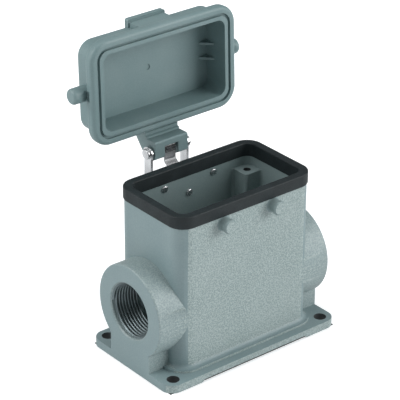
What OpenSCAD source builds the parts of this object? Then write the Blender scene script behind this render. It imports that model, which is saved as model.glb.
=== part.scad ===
// Surface-mounting housing for a size 10 heavy duty rectangular connector:
// a one-piece die-cast box on a four-hole base, a cable entry in each end,
// a rubber profile seal round its mouth, and a die-cast hinged cover.
// The long side lies along X, the hinge is at +Y, and the origin is the
// centre of the base's hole pattern in the plane it stands on.

/* [Housing] */
// Length of the box outside its walls
body_l = 72; // [70:0.5:76]
// Width of the box outside its walls
body_w = 42; // [40:0.5:45]
// Height of the cast rim above the standing plane
body_h = 74.8; // [66:0.2:86]
// Outer radius of the four upright corners
body_r = 7; // [6:0.5:9]
// Thickness of the cast walls
wall = 3; // [2.4:0.1:3.4]
// Thickness of the floor inside the box
floor_t = 2.6; // [1.6:0.1:4]

/* [Base flange] */
// Thickness of the base at the screw holes
base_t = 3.7; // [3:0.1:5]
// Radius of the base's corners
base_r = 5.5; // [3:0.5:8]
// Hole spacing along the box
hole_dx = 82; // [80:0.5:83]
// Hole spacing across the box
hole_dy = 45; // [44:0.5:47]
// Distance from the hole centres to the ends of the base
base_end = 5.5; // [5:0.1:7]
// Distance from the hole centres to the sides of the base
base_side = 5; // [4.8:0.1:7]
// Diameter of the four base holes
hole_d = 5.5; // [4.5:0.1:6]
// Height of the clearance under the base between its feet
relief_h = 1.1; // [0.6:0.1:1.5]
// Half length of that clearance
relief_x = 29; // [20:1:31]
// Width of the raised step round the box's foot
plinth_w = 2.6; // [1.5:0.1:3]
// Height of that step
plinth_h = 1; // [0.6:0.1:1.6]
// Fillet radius between the step and the walls
plinth_fillet = 1.8; // [1:0.1:2.5]

/* [Cable entries] */
// Diameter of the cable thread
entry_d = 25; // [20:0.5:26]
// Height of the entries above the standing plane
entry_z = 28; // [26.5:0.5:34]
// Outside diameter of the entry bosses
boss_d = 41.6; // [36:0.2:41.6]
// Thickness of the pedestal under each boss
pedestal_w = 26; // [18:1:28]
// Chamfer at the mouth of each entry
entry_chamfer = 0.5; // [0.3:0.1:1]
// Rounding of each boss's outer edge
boss_edge = 0.7; // [0.3:0.1:1]

/* [Insert fixing] */
// Screw spacing of the contact insert along the box
insert_dx = 57; // [55:0.5:58]
// Screw spacing of the contact insert across the box
insert_dy = 27; // [25:0.5:28]
// Depth of the screw posts below the cast rim
insert_depth = 9.2; // [7:0.2:14]
// Core diameter of the tapped M4 holes
insert_tap_d = 3.3; // [2.5:0.1:3.6]
// Depth of the tapped holes
insert_tap_l = 12; // [8:1:18]
// Distance of the posts' free faces from their screws
post_r = 4.2; // [3.6:0.1:4.6]
// Rounding of the posts' free corners
post_corner = 1.6; // [1:0.1:2.4]
// Fillet between the posts and the walls
post_fillet = 1.4; // [0.8:0.1:2]

/* [Locking pegs] */
// Distance between the two pegs of a side
peg_dx = 26.6; // [25:0.2:30]
// Distance of the pegs below the cast rim
peg_drop = 7.4; // [7.2:0.2:9]
// Diameter of a peg
peg_d = 5.8; // [4.5:0.1:6.2]
// Length of a peg outside the wall
peg_l = 5; // [4:0.2:6]

/* [Rim seal] */
// Thickness of the rubber outside the rim and on top of it
seal_t = 1.2; // [0.9:0.1:1.5]
// Height of the seal's outer lip
seal_out = 4.4; // [3.5:0.1:4.8]
// Height of the seal's inner lip
seal_in = 5; // [4:0.1:6]
// Thickness of the cast rim that the seal grips
tongue_t = 1.5; // [1.2:0.1:1.8]
// How far the seal stands proud of the walls
seal_proud = 0.5; // [0.2:0.1:0.7]
// Play between the seal and the casting
seal_play = 0.05; // [0.02:0.01:0.1]

/* [Cover] */
// How far the cover stands open from closed
open_angle = 92; // [0:1:94]
// Overlap of the cover's rim beyond the seal
rim_over = 2; // [1.5:0.1:2.5]
// Thickness of the cover's rim
rim_t = 5; // [4:0.2:6]
// Height of the cover's inside
cover_depth = 12.8; // [11:0.2:16]
// Thickness of the cover's walls
cover_wall = 2; // [2:0.1:2.6]
// Rounding of the cover's outer edges
cover_edge = 1.8; // [1:0.1:2]
// Width of the groove in the cover's sealing face
groove_w = 1.3; // [0.8:0.1:1.6]
// Depth of that groove
groove_t = 1.2; // [0.6:0.1:1.8]
// Diameter of the finger pegs on the cover's ends
finger_d = 7; // [5:0.2:8]
// Length of those pegs beyond the cover's walls
finger_l = 9; // [6:0.5:11]
// Width of the thumb lip
lip_w = 19.6; // [12:0.2:30]
// How far the thumb lip overhangs the cover's wall
lip_out = 3.6; // [2.4:0.1:4]
// Thickness of the thumb lip
lip_t = 2.4; // [1.8:0.1:3]

/* [Hinge] */
// Distance of the hinge pin behind the middle of the box
pin_y = 33.5; // [32.5:0.1:36]
// Height of the hinge pin above the top of the seal
pin_up = 1.2; // [0.6:0.1:2]
// Diameter of the hinge pin
pin_d = 3; // [2.5:0.1:3.4]
// Radial running clearance between the cover's lug and the pin
pin_play = 0.08; // [0.05:0.01:0.1]
// Width of the cover's lug
lug_w = 17.6; // [14:0.2:18]
// Play between the lug and each bracket arm
lug_play = 0.4; // [0.2:0.1:0.6]
// Width of the slot in the lug for the spring
slot_w = 7.4; // [7:0.1:8]
// Thickness of the bracket's sheet
sheet_t = 1.2; // [1:0.1:1.5]
// Width of the bracket's arms
arm_w = 4.6; // [4:0.1:5]
// Thickness of the leaf spring
leaf_t = 0.6; // [0.4:0.1:0.8]
// Width of the leaf spring
leaf_w = 6.2; // [5:0.1:6.2]
// Drop of the spring's rivet below the rear pegs
rivet_drop = 5.6; // [5:0.1:7]
// Diameter of the rivet shanks
shank_d = 2.6; // [2:0.1:3]

/* [Hidden] */
$fn = 64;
sink = 0.6;  // how far joined castings reach into each other

base_l = hole_dx + 2 * base_end;
base_w = hole_dy + 2 * base_side;
peg_z = body_h - peg_drop;
tongue_r = body_r + seal_proud - seal_t;
seal_l = body_l + 2 * seal_proud;
seal_w = body_w + 2 * seal_proud;
seal_r = body_r + seal_proud;
seal_top = body_h + seal_t;
tongue_in = seal_t - seal_proud + tongue_t;  // inner face of the rim, from the wall's outer face
seal_wide = wall + seal_proud + 0.4;         // the seal's own width, over both lips
post_top = body_h - insert_depth;
cavity_r = body_r - wall;
end_x = base_l / 2;
boss_root = body_l / 2 - body_r + 0.5;
bore_in = body_l / 2 - wall - 1;

mouth_z = seal_top + 0.2;  // the closed cover's sealing face
rim_l = seal_l + 2 * rim_over;
rim_w = seal_w + 2 * rim_over;
rim_r = seal_r + 1.5;
cover_in_l = seal_l - 2 * seal_wide - 0.4;
cover_in_w = seal_w - 2 * seal_wide - 0.4;
cover_in_r = cavity_r;
shell_l = cover_in_l + 2 * cover_wall + 2;
shell_w = cover_in_w + 2 * cover_wall + 2;
shell_r = cover_in_r + cover_wall + 1;
cover_top = mouth_z + cover_depth + cover_wall;
groove_l = seal_l - seal_wide + groove_w / 2 + 1;
groove_wd = seal_w - seal_wide + groove_w / 2 + 1;
groove_r = seal_r - seal_wide / 2;
finger_z = mouth_z + rim_t + finger_d / 2 - 1;

pin_z = seal_top + pin_up;
barrel_r = 3.6;
arm_in = lug_w / 2 + lug_play;
arm_r = 3.1;
plate_y = body_w / 2;         // outer face of the rear wall
plate_z0 = peg_z - rivet_drop - 4.2;
plate_z1 = body_h - seal_out - 0.4;
plate_w = peg_dx + 8;
rivet_z = peg_z - rivet_drop;
slot_r = 4.6;                 // clear radius round the pin inside the lug's slot
lug_nose = 5.6;               // the lug's block from the pin towards the cover
lug_face = 3.6;               // the lug's flat face from the pin
pin_head_t = 1.3;
pin_head_r = 2.4;
pin_hold = 0.02;              // radial play of the pin in the bracket

coat = [0.56, 0.61, 0.62];
steel = [0.78, 0.79, 0.80];
rubber = [0.10, 0.11, 0.12];

// Rectangle with rounded corners, centred
module rounded_rect(l, w, r) {
    square([l - 2 * r, w], center = true);
    square([l, w - 2 * r], center = true);
    for (x = [-1, 1], y = [-1, 1])
        translate([x * (l / 2 - r), y * (w / 2 - r)])
            circle(r);
}

module rounded_block(l, w, r, h) {
    linear_extrude(h)
        rounded_rect(l, w, r);
}

// A profile carried round a rounded rectangle. Its x is the distance
// outwards from the centre lines of the corners, and its y is the height.
module swept(l, w, r) {
    a = l / 2 - r;
    b = w / 2 - r;
    for (side = [0, 1]) {
        rotate([0, 0, 180 * side])
            translate([a, b, 0])
                rotate([90, 0, 0])
                    linear_extrude(2 * b)
                        children();
        rotate([0, 0, 180 * side])
            translate([-a, b, 0])
                rotate([90, 0, 90])
                    linear_extrude(2 * a)
                        children();
        rotate([0, 0, 180 * side]) {
            translate([a, b, 0])
                rotate_extrude(angle = 90)
                    children();
            translate([-a, b, 0])
                rotate([0, 0, 90])
                    rotate_extrude(angle = 90)
                        children();
        }
    }
}

// Quarter of a circle cut out of the corner at the origin
module corner_fillet(r) {
    difference() {
        square(r);
        translate([r, r])
            circle(r);
    }
}

// Rectangle from the origin with its outer top corner rounded
module rounded_corner_profile(x, h, r) {
    difference() {
        square([x, h]);
        translate([x, h])
            rotate(180)
                corner_fillet(r);
    }
}

// One insert post in plan, with fillets into both walls
module post_plan() {
    wall_x = body_l / 2 - wall;
    wall_y = body_w / 2 - wall;
    x = insert_dx / 2;
    y = insert_dy / 2;
    low = [x - post_r, y - post_r];
    translate([low.x + post_corner, low.y + post_corner])
        circle(post_corner);
    translate([low.x, low.y + post_corner])
        square([wall_x - low.x + 1, wall_y - low.y - post_corner + 1]);
    translate([low.x + post_corner, low.y])
        square([wall_x - low.x - post_corner + 1, wall_y - low.y + 1]);
    translate([x - post_r, wall_y])
        rotate(180)
            corner_fillet(post_fillet);
    translate([wall_x, y - post_r])
        rotate(180)
            corner_fillet(post_fillet);
}

module cavity_plan() {
    difference() {
        rounded_rect(body_l - 2 * wall, body_w - 2 * wall, cavity_r);
        for (x = [0, 1], y = [0, 1])
            mirror([x, 0])
                mirror([0, y])
                    post_plan();
    }
}

// The clearance under the base, with sloped ends at the feet
module base_relief() {
    translate([0, base_w, 0])
        rotate([90, 0, 0])
            linear_extrude(2 * base_w)
                polygon([[-relief_x - 1, -1], [relief_x + 1, -1], [relief_x, 0],
                         [relief_x - relief_h, relief_h], [relief_h - relief_x, relief_h],
                         [-relief_x, 0]]);
}

// Base plate with its step and the fillet round the box's foot
module base() {
    rounded_block(base_l, base_w, base_r, base_t);
    translate([0, 0, base_t - sink])
        rounded_block(body_l + 2 * plinth_w, body_w + 2 * plinth_w, body_r + plinth_w, plinth_h + sink);
    translate([0, 0, base_t + plinth_h])
        swept(body_l, body_w, body_r) {
            translate([body_r, 0])
                corner_fillet(plinth_fillet);
        }
}

// Boss of one cable entry with the pedestal that carries it on the base
module entry_boss() {
    translate([0, 0, entry_z])
        rotate([0, 90, 0])
            rotate_extrude()
                translate([0, boss_root])
                    rounded_corner_profile(boss_d / 2, end_x - boss_root, boss_edge);
    translate([boss_root, -pedestal_w / 2, base_t - sink])
        cube([end_x - boss_root, pedestal_w, entry_z - base_t + sink]);
}

module entry_bore() {
    translate([bore_in, 0, entry_z])
        rotate([0, 90, 0])
            cylinder(d = entry_d, h = end_x - bore_in + 1);
    translate([end_x - entry_chamfer, 0, entry_z])
        rotate([0, 90, 0])
            cylinder(d1 = entry_d, d2 = entry_d + 4 * entry_chamfer, h = 2 * entry_chamfer);
}

// Cast locking peg on the front wall, standing out of it along -Y
module cast_peg() {
    rotate([90, 0, 0])
        rotate_extrude() {
            translate([0, -sink])
                square([peg_d / 2, sink + peg_l - 0.6]);
            translate([0, -sink])
                square([peg_d / 2 + 0.3 - 0.6, sink + peg_l]);
            translate([peg_d / 2, 0])
                corner_fillet(0.9);
            polygon([[0, peg_l - 2.2], [peg_d / 2, peg_l - 2.2], [peg_d / 2 + 0.3, peg_l - 1.4],
                     [peg_d / 2 + 0.3, peg_l - 0.6], [peg_d / 2 - 0.3, peg_l], [0, peg_l]]);
        }
}

module housing_body() {
    color(coat)
    difference() {
        union() {
            base();
            translate([0, 0, base_t - sink])
                rounded_block(body_l, body_w, body_r, body_h - base_t + sink);
            for (side = [0, 1])
                mirror([side, 0, 0])
                    entry_boss();
            for (x = [-1, 1])
                translate([x * peg_dx / 2, -body_w / 2, peg_z])
                    cast_peg();
        }
        translate([0, 0, relief_h + floor_t])
            linear_extrude(post_top - relief_h - floor_t + 0.01)
                cavity_plan();
        translate([0, 0, post_top])
            rounded_block(body_l - 2 * wall, body_w - 2 * wall, cavity_r, body_h);
        // steps that the seal's two lips sit in
        translate([0, 0, body_h - seal_out])
            difference() {
                rounded_block(body_l + 10, body_w + 10, body_r, seal_out + 1);
                translate([0, 0, -1])
                    rounded_block(body_l - 2 * (seal_t - seal_proud), body_w - 2 * (seal_t - seal_proud),
                                  tongue_r, seal_out + 3);
            }
        translate([0, 0, body_h - seal_in])
            rounded_block(body_l - 2 * tongue_in, body_w - 2 * tongue_in, body_r - tongue_in, seal_in + 1);
        for (side = [0, 1])
            mirror([side, 0, 0])
                entry_bore();
        for (x = [-1, 1], y = [-1, 1]) {
            translate([x * hole_dx / 2, y * hole_dy / 2, -1])
                cylinder(d = hole_d, h = base_t + 2);
            translate([x * insert_dx / 2, y * insert_dy / 2, post_top - insert_tap_l])
                cylinder(d = insert_tap_d, h = insert_tap_l + 1);
        }
        for (x = [-1, 1])
            translate([x * peg_dx / 2, body_w / 2 - wall - 1, peg_z])
                rotate([-90, 0, 0])
                    cylinder(d = shank_d, h = wall + 2);
        translate([0, body_w / 2 - wall - 1, rivet_z])
            rotate([-90, 0, 0])
                cylinder(d = shank_d, h = wall + 2);
        base_relief();
    }
}

// Rubber channel pushed over the rim
module rim_seal() {
    x_out = seal_r;
    x_in = seal_r - seal_wide;
    grip_out = tongue_r + seal_play;
    grip_in = tongue_r - tongue_t - seal_play;
    edge = 0.5;
    color(rubber)
    swept(seal_l, seal_w, seal_r)
        difference() {
            union() {
                translate([x_in, body_h - seal_in])
                    square([x_out - x_in, seal_in + seal_t - edge]);
                translate([x_in + edge, seal_top - edge])
                    square([x_out - x_in - 2 * edge, edge]);
                for (x = [x_in + edge, x_out - edge])
                    translate([x, seal_top - edge])
                        circle(edge);
            }
            translate([grip_in, 0])
                square([grip_out - grip_in, body_h + seal_play]);
            translate([grip_out - 0.01, 0])
                square([10, body_h - seal_out + seal_play]);
        }
}

// Turns what is modelled on the closed cover to where it stands open
module opened() {
    translate([0, pin_y, pin_z])
        rotate([-open_angle, 0, 0])
            translate([0, -pin_y, -pin_z])
                children();
}

// Side view of the lug on the closed cover, with Y to the right
module lug_profile() {
    lug_top = cover_top - cover_edge - 0.6;
    polygon([[shell_w / 2 - 1, mouth_z + rim_t + 0.4], [pin_y - 8.6, mouth_z + rim_t + 0.4],
             [pin_y - 8.2, pin_z + 3.2], [pin_y - 6.8, pin_z + 3.2], [pin_y - 6.4, pin_z + 2.2],
             [pin_y - lug_nose, pin_z + 2.2], [pin_y - lug_nose, pin_z - lug_face + 0.6],
             [pin_y - lug_nose + 0.6, pin_z - lug_face], [pin_y + 1.8, pin_z - lug_face],
             [pin_y + 2.6, pin_z - lug_face + 0.8], [pin_y + 3.4, pin_z + 1.2],
             [pin_y + 2.2, pin_z + 4.2], [pin_y - 1.2, pin_z + 7.0], [pin_y - 5.4, lug_top - 1.2],
             [shell_w / 2 - 1, lug_top]]);
    translate([pin_y, pin_z])
        circle(barrel_r);
}

module lug() {
    translate([-lug_w / 2, 0, 0])
        rotate([90, 0, 90])
            linear_extrude(lug_w)
                lug_profile();
}

// Cup of the cover without its cuts
module cover_outside() {
    translate([0, 0, mouth_z])
        swept(rim_l, rim_w, rim_r)
            difference() {
                rounded_corner_profile(rim_r, rim_t, cover_edge);
                translate([rim_r, 0])
                    rotate(90)
                        corner_fillet(cover_edge);
            }
    translate([0, 0, mouth_z + rim_t / 2])
        cube([rim_l - 2 * rim_r, rim_w - 2 * rim_r, rim_t], center = true);
    translate([0, 0, mouth_z])
        swept(shell_l, shell_w, shell_r)
            rounded_corner_profile(shell_r, cover_top - mouth_z, cover_edge);
    translate([-shell_l / 2 + shell_r, -shell_w / 2 + shell_r, mouth_z])
        cube([shell_l - 2 * shell_r, shell_w - 2 * shell_r, cover_top - mouth_z]);
    translate([0, 0, mouth_z + rim_t])
        swept(shell_l, shell_w, shell_r)
            translate([shell_r, 0])
                corner_fillet(1);
}

module finger() {
    root = cover_in_l / 2 + cover_wall / 2;
    translate([0, 0, finger_z])
        rotate([0, 90, 0])
            rotate_extrude()
                translate([0, root])
                    rounded_corner_profile(finger_d / 2, shell_l / 2 + finger_l - root, 1.4);
}

// Pair of small gussets behind each finger, in the corner of floor and wall
module gussets() {
    for (y = [-1, 1])
        translate([cover_in_l / 2 + 0.5, y * (finger_d / 2 - 0.1) + 0.5, mouth_z + cover_depth + 0.5])
            rotate([90, 0, 0])
                linear_extrude(1)
                    polygon([[0, 0], [-5.4, 0], [0, -6.4]]);
}

module thumb_lip() {
    y = -shell_w / 2 - lip_out;
    translate([0.6 - lip_w / 2, y + 1.4, mouth_z + rim_t - sink])
        cube([lip_w - 1.2, lip_out + 2, cover_top - lip_t - mouth_z - rim_t + 2 * sink]);
    translate([-lip_w / 2, y + 1, cover_top - lip_t])
        cube([lip_w, lip_out + 3, lip_t]);
    translate([-lip_w / 2 + 1, y, cover_top - lip_t])
        cube([lip_w - 2, lip_out + 3, lip_t]);
    for (x = [-1, 1])
        translate([x * (lip_w / 2 - 1), y + 1, cover_top - lip_t])
            cylinder(r = 1, h = lip_t);
}

module cover_shell() {
    color(coat)
    opened()
    difference() {
        union() {
            difference() {
                union() {
                    cover_outside();
                    for (side = [0, 1])
                        mirror([side, 0, 0])
                            finger();
                    thumb_lip();
                    lug();
                }
                translate([0, 0, mouth_z - 1])
                    rounded_block(cover_in_l, cover_in_w, cover_in_r, cover_depth + 1);
            }
            for (side = [0, 1])
                mirror([side, 0, 0])
                    gussets();
        }
        // groove between the sealing face's two lips
        translate([0, 0, mouth_z])
            swept(groove_l, groove_wd, groove_r)
                translate([groove_r - groove_w, -1])
                    square([groove_w, groove_t + 1]);
        // pocket at the root of each finger
        for (x = [-1, 1])
            translate([x * (rim_l / 2 + 0.6), 0, mouth_z + rim_t - 1.6])
                rotate([0, x * 25, 0])
                    cylinder(d = finger_d * 0.7, h = 2.6, center = true);
        // ejector mark in the middle of the inside
        translate([0, 0, mouth_z + cover_depth - 0.01])
            cylinder(d = 2.6, h = 0.4);
        // pin bore and the slot for the spring
        translate([-lug_w, pin_y, pin_z])
            rotate([0, 90, 0])
                cylinder(d = pin_d + 2 * pin_play, h = 2 * lug_w);
        translate([-slot_w / 2, pin_y, pin_z])
            rotate([0, 90, 0])
                cylinder(r = slot_r, h = slot_w);
    }
}

// Side view of a bracket arm, with Y to the right
module arm_profile() {
    translate([pin_y, pin_z])
        circle(arm_r);
    translate([pin_y - arm_w / 2, plate_z0 + 5])
        square([arm_w, pin_z - plate_z0 - 5]);
    polygon([[plate_y, plate_z0 + 1], [pin_y - 2, plate_z0 + 3.4], [pin_y + arm_w / 2, plate_z0 + 6.4],
             [pin_y + arm_w / 2, plate_z0 + 10], [pin_y - arm_w / 2, plate_z0 + 10],
             [plate_y, plate_z0 + 9.4]]);
}

// Stainless sheet bracket: a plate on the rear wall and two arms bent out of it
module hinge_bracket() {
    color(steel)
    difference() {
        union() {
            translate([0, plate_y + sheet_t, (plate_z0 + plate_z1) / 2])
                rotate([90, 0, 0])
                    linear_extrude(sheet_t)
                        rounded_rect(plate_w, plate_z1 - plate_z0, 2.5);
            for (side = [0, 1])
                mirror([side, 0, 0])
                    translate([arm_in, 0, 0])
                        rotate([90, 0, 90])
                            linear_extrude(sheet_t)
                                arm_profile();
        }
        for (x = [-1, 1])
            translate([x * peg_dx / 2, plate_y - 1, peg_z])
                rotate([-90, 0, 0])
                    cylinder(d = shank_d, h = sheet_t + 2);
        translate([0, plate_y - 1, rivet_z])
            rotate([-90, 0, 0])
                cylinder(d = shank_d, h = sheet_t + 2);
        translate([-2 * arm_in, pin_y, pin_z])
            rotate([0, 90, 0])
                cylinder(d = pin_d + 2 * pin_hold, h = 4 * arm_in);
    }
}

// Pin with a formed head outside each arm
module hinge_pin() {
    half = arm_in + sheet_t;
    color(steel)
    translate([0, pin_y, pin_z])
        rotate([0, 90, 0])
            rotate_extrude() {
                translate([0, -half - 0.5])
                    square([pin_d / 2, 2 * half + 1]);
                for (end = [0, 1])
                    mirror([0, end])
                        translate([0, half])
                            rounded_corner_profile(pin_head_r, pin_head_t, 0.6);
            }
}

// Leaf spring bent up from the plate to bear on the lug beside the pin
module hinge_leaf_spring() {
    y0 = plate_y + sheet_t;
    tip_y = pin_y - pin_d / 2 - 0.35;
    t = leaf_t;
    color(steel)
    difference() {
        translate([-leaf_w / 2, 0, 0])
            rotate([90, 0, 90])
                linear_extrude(leaf_w)
                    polygon([[y0, rivet_z - 3.2], [y0 + t, rivet_z - 3.2], [y0 + t, rivet_z + 3],
                             [tip_y - 0.6 * t, pin_z - 5.4], [tip_y, pin_z - 4.8], [tip_y, pin_z + 2.2],
                             [tip_y - t, pin_z + 2.2], [tip_y - t, pin_z - 4.6],
                             [y0, rivet_z + 3.4]]);
        translate([0, y0 - 1, rivet_z])
            rotate([-90, 0, 0])
                cylinder(d = shank_d, h = t + 2);
    }
}

// Turned peg riveted through the bracket and the rear wall
module rear_peg(x) {
    outer = plate_y + sheet_t;
    inner = body_w / 2 - wall;
    color(steel)
    translate([x, 0, peg_z])
        rotate([-90, 0, 0])
            rotate_extrude() {
                translate([0, inner - 0.5])
                    square([shank_d / 2, outer - inner + 1]);
                translate([0, outer])
                    rounded_corner_profile(peg_d / 2, peg_l - sheet_t, 0.6);
                translate([0, inner])
                    mirror([0, 1])
                        rounded_corner_profile(1.6, 0.8, 0.5);
            }
}

// Rivet that holds the leaf spring and the foot of the bracket
module spring_rivet() {
    outer = plate_y + sheet_t + leaf_t;
    inner = body_w / 2 - wall;
    color(steel)
    translate([0, 0, rivet_z])
        rotate([-90, 0, 0])
            rotate_extrude() {
                translate([0, inner - 0.5])
                    square([shank_d / 2, outer - inner + 1]);
                translate([0, outer])
                    rounded_corner_profile(2.3, 1, 0.6);
                translate([0, inner])
                    mirror([0, 1])
                        rounded_corner_profile(1.6, 0.8, 0.5);
            }
}

housing_body();
rim_seal();
cover_shell();
hinge_bracket();
hinge_pin();
hinge_leaf_spring();
rear_peg(-peg_dx / 2);  // rear_peg_left
rear_peg(peg_dx / 2);  // rear_peg_right
spring_rivet();
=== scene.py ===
import math

import bpy
from mathutils import Matrix, Vector


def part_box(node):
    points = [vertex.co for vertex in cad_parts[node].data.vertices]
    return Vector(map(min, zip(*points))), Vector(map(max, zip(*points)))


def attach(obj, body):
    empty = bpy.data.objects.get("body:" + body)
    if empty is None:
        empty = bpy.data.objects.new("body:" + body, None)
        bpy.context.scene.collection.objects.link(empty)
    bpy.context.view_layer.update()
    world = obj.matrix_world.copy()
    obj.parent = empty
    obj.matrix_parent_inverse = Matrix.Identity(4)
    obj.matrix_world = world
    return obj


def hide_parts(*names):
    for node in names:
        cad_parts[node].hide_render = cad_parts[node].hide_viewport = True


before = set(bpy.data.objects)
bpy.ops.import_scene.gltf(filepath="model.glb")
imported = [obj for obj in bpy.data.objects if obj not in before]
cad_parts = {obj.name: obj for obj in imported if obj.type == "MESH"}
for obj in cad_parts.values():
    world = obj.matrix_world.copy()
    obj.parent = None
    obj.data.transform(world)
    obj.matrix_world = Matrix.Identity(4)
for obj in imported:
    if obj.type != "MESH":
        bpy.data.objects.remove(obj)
bpy.ops.object.select_all(action="DESELECT")
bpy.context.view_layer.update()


# ---- Studio -------------------------------------------------------------
# A white table and surround with three large soft lamps, seen from the left
# front and above, at the height of someone standing at a bench.

scene = bpy.context.scene
scene.view_settings.view_transform = "Standard"

eye = Vector((-0.49005, -0.58937, 0.46168))
aim = Vector((0.00420, 0.01579, 0.05752))
lean = Matrix.Rotation(math.radians(0.3), 4, "Z")

camera_data = bpy.data.cameras.new("bench_camera")
camera_data.sensor_width = 36
camera_data.lens = 184.72
camera_data.clip_start = 0.05
camera_data.clip_end = 20
camera = bpy.data.objects.new("bench_camera", camera_data)
scene.collection.objects.link(camera)
camera.location = eye
camera.rotation_euler = ((aim - eye).to_track_quat("-Z", "Y").to_matrix().to_4x4() @ lean).to_euler()
scene.camera = camera

lamp_aim = Vector((0, 0, 0.06))
for lamp_name, lamp_at, lamp_side, lamp_power in (
    ("front_lamp", (0.90, -1.00, 0.62), 1.1, 16.8),
    ("left_lamp", (-1.05, 0.50, 0.80), 1.1, 13.0),
    ("top_lamp", (0.0, 0.1, 1.4), 0.9, 5.0),
):
    lamp_data = bpy.data.lights.new(lamp_name, "AREA")
    lamp_data.size = lamp_side
    lamp_data.energy = lamp_power
    lamp = bpy.data.objects.new(lamp_name, lamp_data)
    scene.collection.objects.link(lamp)
    lamp.location = lamp_at
    lamp.rotation_euler = (lamp_aim - Vector(lamp_at)).to_track_quat("-Z", "Y").to_euler()

world = bpy.data.worlds.new("studio_air")
scene.world = world
world.use_nodes = True
air = world.node_tree
air.nodes.clear()
air_out = air.nodes.new("ShaderNodeOutputWorld")
air_light = air.nodes.new("ShaderNodeBackground")
air_light.inputs["Color"].default_value = (0.95, 0.98, 1.0, 1)
air_light.inputs["Strength"].default_value = 0.26
air_white = air.nodes.new("ShaderNodeBackground")
air_white.inputs["Color"].default_value = (1, 1, 1, 1)
air_white.inputs["Strength"].default_value = 1.0
air_mix = air.nodes.new("ShaderNodeMixShader")
air_path = air.nodes.new("ShaderNodeLightPath")
air.links.new(air_path.outputs["Is Camera Ray"], air_mix.inputs["Fac"])
air.links.new(air_light.outputs[0], air_mix.inputs[1])
air.links.new(air_white.outputs[0], air_mix.inputs[2])
air.links.new(air_mix.outputs[0], air_out.inputs["Surface"])


def math_node(tree, operation, first, second=0.0, clamp=False):
    """A Math node; each operand is a socket or a number."""
    node = tree.nodes.new("ShaderNodeMath")
    node.operation = operation
    node.use_clamp = clamp
    for place, value in enumerate((first, second)):
        if isinstance(value, (int, float)):
            node.inputs[place].default_value = value
        else:
            tree.links.new(value, node.inputs[place])
    return node.outputs[0]


def mix_colour(tree, factor, first, second):
    """A colour Mix node; each colour is a socket or three numbers."""
    node = tree.nodes.new("ShaderNodeMix")
    node.data_type = "RGBA"
    if isinstance(factor, (int, float)):
        node.inputs["Factor"].default_value = factor
    else:
        tree.links.new(factor, node.inputs["Factor"])
    for socket, value in ((node.inputs[6], first), (node.inputs[7], second)):
        if isinstance(value, (tuple, list)):
            socket.default_value = (*value, 1)
        else:
            tree.links.new(value, socket)
    return node.outputs[2]


def spread(tree, value, low, high, to_low=0.0, to_high=1.0):
    """A clamped Map Range from low..high to to_low..to_high."""
    node = tree.nodes.new("ShaderNodeMapRange")
    tree.links.new(value, node.inputs["Value"])
    for socket, number in zip(("From Min", "From Max", "To Min", "To Max"), (low, high, to_low, to_high)):
        node.inputs[socket].default_value = number
    return node.outputs["Result"]


table_drop = 0.0002
bpy.ops.mesh.primitive_plane_add(size=6, location=(0, 0, -table_drop))
table = bpy.context.object
table.name = "floor"
table_paint = bpy.data.materials.new("white_table")
table_paint.use_nodes = True
table_tree = table_paint.node_tree
table_tree.nodes.clear()
table_at = table_tree.nodes.new("ShaderNodeTexCoord").outputs["Object"]
seen_directly = table_tree.nodes.new("ShaderNodeLightPath").outputs["Is Camera Ray"]

# under the base the table is painted near black, painted shade beneath the casting, so that the screw holes
# look dark
table_xyz = table_tree.nodes.new("ShaderNodeSeparateXYZ")
table_tree.links.new(table_at, table_xyz.inputs[0])
base_low, base_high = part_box("housing_body")
hidden_margin = 0.001
beyond_x = math_node(table_tree, "GREATER_THAN", math_node(table_tree, "ABSOLUTE", table_xyz.outputs["X"]),
                     base_high.x - hidden_margin)
beyond_y = math_node(table_tree, "GREATER_THAN", math_node(table_tree, "ABSOLUTE", table_xyz.outputs["Y"]),
                     base_high.y - hidden_margin)
open_table = math_node(table_tree, "MAXIMUM", beyond_x, beyond_y)
table_matt = table_tree.nodes.new("ShaderNodeBsdfDiffuse")
table_tree.links.new(mix_colour(table_tree, open_table, (0.02, 0.02, 0.02), (0.86, 0.87, 0.88)),
                     table_matt.inputs["Color"])

# far from the housing the table brightens into the white surround
table_reach = table_tree.nodes.new("ShaderNodeVectorMath")
table_reach.operation = "LENGTH"
table_tree.links.new(table_at, table_reach.inputs[0])
table_white = table_tree.nodes.new("ShaderNodeEmission")
table_tree.links.new(spread(table_tree, table_reach.outputs["Value"], 0.15, 0.60, 0.42, 1.0),
                     table_white.inputs["Strength"])

# a little light reaches the casting's underside, for looks from below
table_fill = table_tree.nodes.new("ShaderNodeEmission")
unlit = math_node(table_tree, "MAXIMUM", open_table, seen_directly)
table_tree.links.new(spread(table_tree, unlit, 0.0, 1.0, 0.35, 0.0), table_fill.inputs["Strength"])

table_glow = table_tree.nodes.new("ShaderNodeMixShader")
table_tree.links.new(math_node(table_tree, "MULTIPLY", open_table, seen_directly), table_glow.inputs["Fac"])
table_tree.links.new(table_fill.outputs[0], table_glow.inputs[1])
table_tree.links.new(table_white.outputs[0], table_glow.inputs[2])
table_top = table_tree.nodes.new("ShaderNodeAddShader")
table_tree.links.new(table_matt.outputs[0], table_top.inputs[0])
table_tree.links.new(table_glow.outputs[0], table_top.inputs[1])

# from underneath the table can be seen through
table_side = table_tree.nodes.new("ShaderNodeNewGeometry")
table_clear = table_tree.nodes.new("ShaderNodeBsdfTransparent")
table_faces = table_tree.nodes.new("ShaderNodeMixShader")
table_tree.links.new(table_side.outputs["Backfacing"], table_faces.inputs["Fac"])
table_tree.links.new(table_top.outputs[0], table_faces.inputs[1])
table_tree.links.new(table_clear.outputs[0], table_faces.inputs[2])
table_out = table_tree.nodes.new("ShaderNodeOutputMaterial")
table_tree.links.new(table_faces.outputs[0], table_out.inputs["Surface"])
table.data.materials.append(table_paint)
bpy.ops.object.select_all(action="DESELECT")
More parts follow.
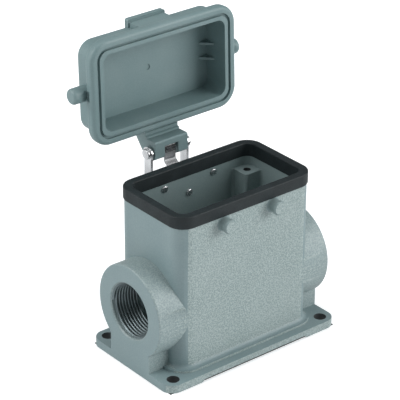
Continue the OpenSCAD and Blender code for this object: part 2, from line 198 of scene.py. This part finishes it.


# ---- Housing casting ----------------------------------------------------
# One aluminium die casting with a grey-green powder coat: a coarse hammer tone
# outside, and a darker coat inside the box as painted shade in the recess. The holes,
# drilled after coating, are painted near black as painted shade, and the casting's edges are softly rounded.


def dressed_copy(node, name, edge, body):
    """A merged copy of a solid with its sharp edges rounded, which stands for the solid."""
    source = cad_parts[node]
    piece = bpy.data.objects.new(name, source.data.copy())
    scene.collection.objects.link(piece)
    piece.data.materials.clear()
    bpy.ops.object.select_all(action="DESELECT")
    piece.select_set(True)
    bpy.context.view_layer.objects.active = piece
    bpy.ops.object.mode_set(mode="EDIT")
    bpy.ops.mesh.select_all(action="SELECT")
    bpy.ops.mesh.remove_doubles(threshold=0.000002)
    bpy.ops.mesh.normals_make_consistent(inside=False)
    bpy.ops.mesh.customdata_custom_splitnormals_clear()
    bpy.ops.mesh.dissolve_limited(angle_limit=math.radians(0.5))
    bpy.ops.object.mode_set(mode="OBJECT")
    bevel = piece.modifiers.new("edge", "BEVEL")
    bevel.width = edge
    bevel.segments = 2
    bevel.limit_method = "ANGLE"
    bevel.angle_limit = math.radians(38)
    bpy.ops.object.modifier_apply(modifier=bevel.name)
    bpy.ops.object.shade_smooth_by_angle(angle=math.radians(32))
    flat_faces = piece.modifiers.new("flat_faces", "WEIGHTED_NORMAL")
    flat_faces.weight = 100
    flat_faces.keep_sharp = True
    bpy.ops.object.modifier_apply(modifier=flat_faces.name)
    piece.select_set(False)
    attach(piece, body)
    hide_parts(node)
    return piece


def noise(tree, place, scale, detail=2.0, rough=0.5, warp=0.0):
    """A Noise node's value at a place."""
    node = tree.nodes.new("ShaderNodeTexNoise")
    node.inputs["Scale"].default_value = scale
    node.inputs["Detail"].default_value = detail
    node.inputs["Roughness"].default_value = rough
    node.inputs["Distortion"].default_value = warp
    tree.links.new(place, node.inputs["Vector"])
    return node.outputs["Fac"]


# the powder coat's colour, roughness and relief, shared by every coated face
coat_group = bpy.data.node_groups.new("hammer_tone_coat", "ShaderNodeTree")
for socket_name, socket_type, socket_value in (
    ("Colour", "NodeSocketColor", (0.3, 0.35, 0.35, 1)),
    ("Hammer", "NodeSocketFloat", 1.0),
    ("Grain", "NodeSocketFloat", 1.0),
):
    socket = coat_group.interface.new_socket(socket_name, in_out="INPUT", socket_type=socket_type)
    socket.default_value = socket_value
for socket_name, socket_type in (
    ("Colour", "NodeSocketColor"),
    ("Roughness", "NodeSocketFloat"),
    ("Height", "NodeSocketFloat"),
):
    coat_group.interface.new_socket(socket_name, in_out="OUTPUT", socket_type=socket_type)
coat_in = coat_group.nodes.new("NodeGroupInput")
coat_out = coat_group.nodes.new("NodeGroupOutput")
coat_colour = coat_in.outputs["Colour"]
hammer_amount = coat_in.outputs["Hammer"]
coat_place = coat_group.nodes.new("ShaderNodeTexCoord").outputs["Object"]

# hammer tone is shallow cells with a swirl of pigment between them
dimples = coat_group.nodes.new("ShaderNodeTexVoronoi")
dimples.feature = "SMOOTH_F1"
dimples.inputs["Scale"].default_value = 1450
dimples.inputs["Smoothness"].default_value = 0.6
coat_group.links.new(coat_place, dimples.inputs["Vector"])
cells = spread(coat_group, dimples.outputs["Distance"], 0.1, 0.62)
swirl = spread(coat_group, noise(coat_group, coat_place, 1850, 3.0, 0.6, 0.4), 0.30, 0.70)
cell_share = math_node(coat_group, "MULTIPLY", cells, 0.45)
swirl_share = math_node(coat_group, "MULTIPLY", swirl, 0.55)
hammer_mix = math_node(coat_group, "ADD", cell_share, swirl_share)
fine_grain = noise(coat_group, coat_place, 2600, 2.0, 0.6)

dark_tone = mix_colour(coat_group, 0.12, coat_colour, (0.08, 0.12, 0.125))
light_tone = mix_colour(coat_group, 0.40, coat_colour, (0.70, 0.80, 0.79))
mottled = mix_colour(coat_group, spread(coat_group, hammer_mix, 0.42, 0.90), dark_tone, light_tone)
mottle_share = math_node(coat_group, "MULTIPLY", hammer_amount, 0.85, clamp=True)
hammered = mix_colour(coat_group, mottle_share, coat_colour, mottled)
broad_share = spread(coat_group, noise(coat_group, coat_place, 38), 0.3, 0.7, 0.0, 0.12)
clouded = mix_colour(coat_group, broad_share, hammered, (0.5, 0.55, 0.55))
coat_group.links.new(clouded, coat_out.inputs["Colour"])

fleck = math_node(coat_group, "MULTIPLY", spread(coat_group, hammer_mix, 0.35, 0.75), hammer_amount)
fleck_gloss = math_node(coat_group, "MULTIPLY", fleck, -0.10)
grain_rough = spread(coat_group, fine_grain, 0.3, 0.7, 0.40, 0.54)
coat_group.links.new(math_node(coat_group, "ADD", grain_rough, fleck_gloss), coat_out.inputs["Roughness"])

hammer_relief = math_node(coat_group, "MULTIPLY", hammer_mix, hammer_amount)
quarter_grain = math_node(coat_group, "MULTIPLY", fine_grain, 0.25)
grain_relief = math_node(coat_group, "MULTIPLY", quarter_grain, coat_in.outputs["Grain"])
coat_group.links.new(math_node(coat_group, "ADD", hammer_relief, grain_relief), coat_out.inputs["Height"])


def principled(name, metallic, specular=0.5):
    """A new material with one Principled shader and a Bump node on its normal."""
    material = bpy.data.materials.new(name)
    material.use_nodes = True
    tree = material.node_tree
    shader = tree.nodes["Principled BSDF"]
    shader.inputs["Metallic"].default_value = metallic
    shader.inputs["Specular IOR Level"].default_value = specular
    bump = tree.nodes.new("ShaderNodeBump")
    tree.links.new(bump.outputs["Normal"], shader.inputs["Normal"])
    return material, tree, shader, bump


def coat(name, colour, hammer, grain, depth, gloss):
    """Powder coat with a share of hammer tone; depth is its relief in metres."""
    material, tree, shader, bump = principled(name, 0.0)
    finish = tree.nodes.new("ShaderNodeGroup")
    finish.node_tree = coat_group
    finish.inputs["Colour"].default_value = (*colour, 1)
    finish.inputs["Hammer"].default_value = hammer
    finish.inputs["Grain"].default_value = grain
    tree.links.new(finish.outputs["Colour"], shader.inputs["Base Color"])
    tree.links.new(finish.outputs["Roughness"], shader.inputs["Roughness"])
    tree.links.new(finish.outputs["Height"], bump.inputs["Height"])
    bump.inputs["Strength"].default_value = 1.0
    bump.inputs["Distance"].default_value = depth
    shader.inputs["Coat Weight"].default_value = gloss
    shader.inputs["Coat Roughness"].default_value = 0.35
    return material


outer_coat = coat(
    "outer_hammer_coat", (0.240, 0.312, 0.308), hammer=1.0, grain=1.0, depth=0.00010, gloss=0.05)
end_coat = coat(
    "end_smooth_coat", (0.186, 0.264, 0.276), hammer=0.12, grain=1.0, depth=0.00004, gloss=0.06)
# darker coat for the inside of the box and the front pegs' sides: painted shade
inner_shade_coat = coat(
    "inner_painted_shade_coat", (0.180, 0.248, 0.250), hammer=0.12, grain=1.2, depth=0.00005, gloss=0.15)
boss_coat = coat(
    "boss_half_hammer_coat", (0.220, 0.292, 0.296), hammer=0.6, grain=1.0, depth=0.00008, gloss=0.05)
# near-black coat for the hole walls: painted shade in the depth of the holes
hole_shade = coat(
    "hole_painted_shade_coat", (0.020, 0.026, 0.028), hammer=0.0, grain=1.0, depth=0.00003, gloss=0.0)
housing_coats = (outer_coat, end_coat, inner_shade_coat, boss_coat, hole_shade)

seal_low, seal_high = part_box("rim_seal")
seal_to_inside = 0.0032
inside_x = seal_high.x - seal_to_inside
inside_y = seal_high.y - seal_to_inside
inside_floor = 0.003
base_top = 0.0047
base_hole_x = 0.041
base_hole_y = 0.0225
base_hole_reach = 0.0031
post_hole_x = 0.0285
post_hole_y = 0.0135
post_hole_reach = 0.0017
post_hole_low = 0.04
post_hole_high = 0.0654
front_peg_root = 0.0214
front_peg_low = 0.055
boss_root = 0.0362


def coat_for(at, facing):
    """The coat on a face of the casting, by the face's middle and its normal."""
    upright = abs(facing.z) < 0.3
    level = abs(facing.z) > 0.9
    in_base_hole = math.hypot(abs(at.x) - base_hole_x, abs(at.y) - base_hole_y) < base_hole_reach
    in_post_hole = math.hypot(abs(at.x) - post_hole_x, abs(at.y) - post_hole_y) < post_hole_reach
    on_front_peg = at.y < -front_peg_root and at.z > front_peg_low
    in_box = abs(at.x) < inside_x and abs(at.y) < inside_y and at.z > inside_floor
    inward = at.x * facing.x + at.y * facing.y < 0 or level or in_post_hole
    # hole walls take the near-black coat: painted shade inside the holes
    if in_base_hole and at.z < base_top and upright:
        return hole_shade
    if in_post_hole and post_hole_low < at.z < post_hole_high:
        return hole_shade
    # the front pegs' sides take the darker coat as a painted shadow around each peg; their end faces keep the
    # hammer coat
    if on_front_peg:
        return outer_coat if facing.y < -0.9 else inner_shade_coat
    # inside the box the darker coat is painted shade in the recess
    if in_box and inward:
        return inner_shade_coat
    if abs(at.x) > boss_root and at.z > base_top and abs(facing.x) < 0.9:
        return boss_coat
    if at.z > base_top and abs(facing.y) > 0.93:
        return outer_coat
    if at.z < base_top and abs(facing.z) < 0.5 and abs(facing.x) < 0.9:
        return outer_coat
    return end_coat


housing = dressed_copy("housing_body", "housing_casting", 0.00035, "housing")
for material in housing_coats:
    housing.data.materials.append(material)
for face in housing.data.polygons:
    face.material_index = housing_coats.index(coat_for(face.center, face.normal))


# ---- Cable entry threads ------------------------------------------------
# The M25 thread of each entry is cut into the casting after coating, so its
# flanks are bare aluminium. It runs from the box to just inside the mouth.

entry_r = 0.0125
entry_height = 0.028
thread_pitch = 0.0015
thread_start = 0.0330
thread_turns = 8
thread_sides = 72
root_r = entry_r + 0.00003
crest_r = entry_r - 0.00085
crest_edge_r = crest_r + 0.0001
ridge = (
    (0.00, root_r),
    (0.22, crest_edge_r),
    (0.30, crest_r),
    (0.42, crest_r),
    (0.50, crest_edge_r),
    (0.72, root_r),
)


def brushed(name, colour, rough, scale, depth, stretch=(1, 1, 1)):
    """Bare metal with fine tooling marks along one direction; depth is in metres."""
    material, tree, shader, bump = principled(name, 1.0)
    place = tree.nodes.new("ShaderNodeTexCoord").outputs["Object"]
    mapping = tree.nodes.new("ShaderNodeMapping")
    mapping.inputs["Scale"].default_value = stretch
    tree.links.new(place, mapping.inputs["Vector"])
    marks = noise(tree, mapping.outputs["Vector"], scale, 3.0, 0.6)
    tone = noise(tree, place, 160)
    dull = tuple(0.72 * part for part in colour)
    tree.links.new(mix_colour(tree, spread(tree, tone, 0.35, 0.7), colour, dull), shader.inputs["Base Color"])
    tree.links.new(spread(tree, marks, 0.3, 0.7, rough - 0.07, rough + 0.1), shader.inputs["Roughness"])
    tree.links.new(marks, bump.inputs["Height"])
    bump.inputs["Strength"].default_value = 0.6
    bump.inputs["Distance"].default_value = depth
    return material


cut_thread = brushed("cut_thread", (0.20, 0.245, 0.255), 0.42, 900, 0.00001)


def entry_thread(name, side):
    """The helical ridge inside one entry, with its root just in the wall; side is -1 or 1."""
    bpy.ops.object.select_all(action="DESELECT")
    bpy.ops.mesh.primitive_plane_add(size=thread_pitch, calc_uvs=False)
    piece = bpy.context.object
    piece.name = name
    piece.data.name = name
    bpy.ops.object.mode_set(mode="EDIT")
    bpy.ops.mesh.select_all(action="SELECT")
    bpy.ops.mesh.merge(type="CENTER")
    bpy.ops.transform.translate(value=(0, root_r, 0))
    for (along, r), (next_along, next_r) in zip(ridge, ridge[1:]):
        step = (0, next_r - r, (next_along - along) * thread_pitch)
        bpy.ops.mesh.extrude_vertices_move(TRANSFORM_OT_translate={"value": step})
    bpy.ops.object.mode_set(mode="OBJECT")
    helix = piece.modifiers.new("helix", "SCREW")
    helix.axis = "Z"
    helix.screw_offset = thread_pitch
    helix.iterations = thread_turns
    helix.steps = thread_sides
    helix.render_steps = thread_sides
    bpy.ops.object.modifier_apply(modifier=helix.name)
    bpy.ops.object.mode_set(mode="EDIT")
    bpy.ops.mesh.select_all(action="SELECT")
    bpy.ops.mesh.normals_make_consistent(inside=False)
    bpy.ops.object.mode_set(mode="OBJECT")
    piece.location = (side * thread_start, 0, entry_height)
    piece.rotation_euler = (0, side * math.pi / 2, 0)
    bpy.ops.object.transform_apply(location=True, rotation=True, scale=False)
    bpy.ops.object.shade_smooth_by_angle(angle=math.radians(30))
    piece.data.materials.append(cut_thread)
    piece.select_set(False)
    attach(piece, "housing")


entry_thread("entry_thread_left", -1)
entry_thread("entry_thread_right", 1)


# ---- Rim seal -----------------------------------------------------------
# A moulded black rubber channel pushed over the cast rim. Its skin is matt,
# with a faint mould grain and a dusting of talc from its mould.

rubber, rubber_tree, rubber_shader, rubber_bump = principled("seal_rubber", 0.0, 0.4)
rubber_place = rubber_tree.nodes.new("ShaderNodeTexCoord").outputs["Object"]
rubber_grain = noise(rubber_tree, rubber_place, 1800, 3.0, 0.6)
talc_cloud = noise(rubber_tree, rubber_place, 120, 4.0, 0.6)
talc_share = spread(rubber_tree, talc_cloud, 0.45, 0.8, 0.0, 0.5)
rubber_colour = mix_colour(rubber_tree, talc_share, (0.008, 0.014, 0.016), (0.026, 0.038, 0.042))
rubber_rough = spread(rubber_tree, rubber_grain, 0.3, 0.7, 0.50, 0.66)
rubber_tree.links.new(rubber_colour, rubber_shader.inputs["Base Color"])
rubber_tree.links.new(rubber_rough, rubber_shader.inputs["Roughness"])
rubber_tree.links.new(rubber_grain, rubber_bump.inputs["Height"])
rubber_bump.inputs["Strength"].default_value = 0.5
rubber_bump.inputs["Distance"].default_value = 0.00003

seal = dressed_copy("rim_seal", "rim_seal_rubber", 0.00035, "housing")
seal.data.materials.append(rubber)


# ---- Cover --------------------------------------------------------------
# One die casting in the same colour with a smoother coat: rim with a sealing
# groove, cup, end pegs, thumb lip and hinge lug, all with rounded edges.

cover_coat = coat(
    "cover_smooth_coat", (0.138, 0.222, 0.230), hammer=0.08, grain=1.0, depth=0.00003, gloss=0.08)
cover = dressed_copy("cover_shell", "cover_casting", 0.0003, "cover")
cover.data.materials.append(cover_coat)


# ---- Hinge bracket ------------------------------------------------------
# Stainless sheet, blanked and bent, riveted flat on the rear wall. Its two
# arms stand on each side of the cover's lug and carry the pin.

sheet_steel = brushed("rolled_stainless", (0.78, 0.79, 0.80), 0.22, 700, 0.000006, (1, 0.15, 0.15))
bracket = dressed_copy("hinge_bracket", "hinge_bracket_sheet", 0.00018, "housing")
bracket.data.materials.append(sheet_steel)


# ---- Leaf spring --------------------------------------------------------
# A bent strip of spring steel under the bracket's rivet. Its free end bears
# on the cover's lug and holds the cover open or closed.

spring_steel = brushed("spring_strip", (0.66, 0.67, 0.68), 0.26, 700, 0.000006, (0.15, 1, 1))
leaf = dressed_copy("hinge_leaf_spring", "hinge_leaf", 0.00012, "housing")
leaf.data.materials.append(spring_steel)


# ---- Hinge pin, rear pegs and rivet -------------------------------------
# Turned steel. The pin has a head formed at each end, and the two pegs and the
# rivet are closed over inside the rear wall, which holds the bracket on.

turned_steel = brushed("turned_steel", (0.74, 0.75, 0.76), 0.24, 1100, 0.000008)
for turned_node in ("hinge_pin", "rear_peg_left", "rear_peg_right", "spring_rivet"):
    turned_piece = dressed_copy(turned_node, turned_node + "_steel", 0.00015, "housing")
    turned_piece.data.materials.append(turned_steel)
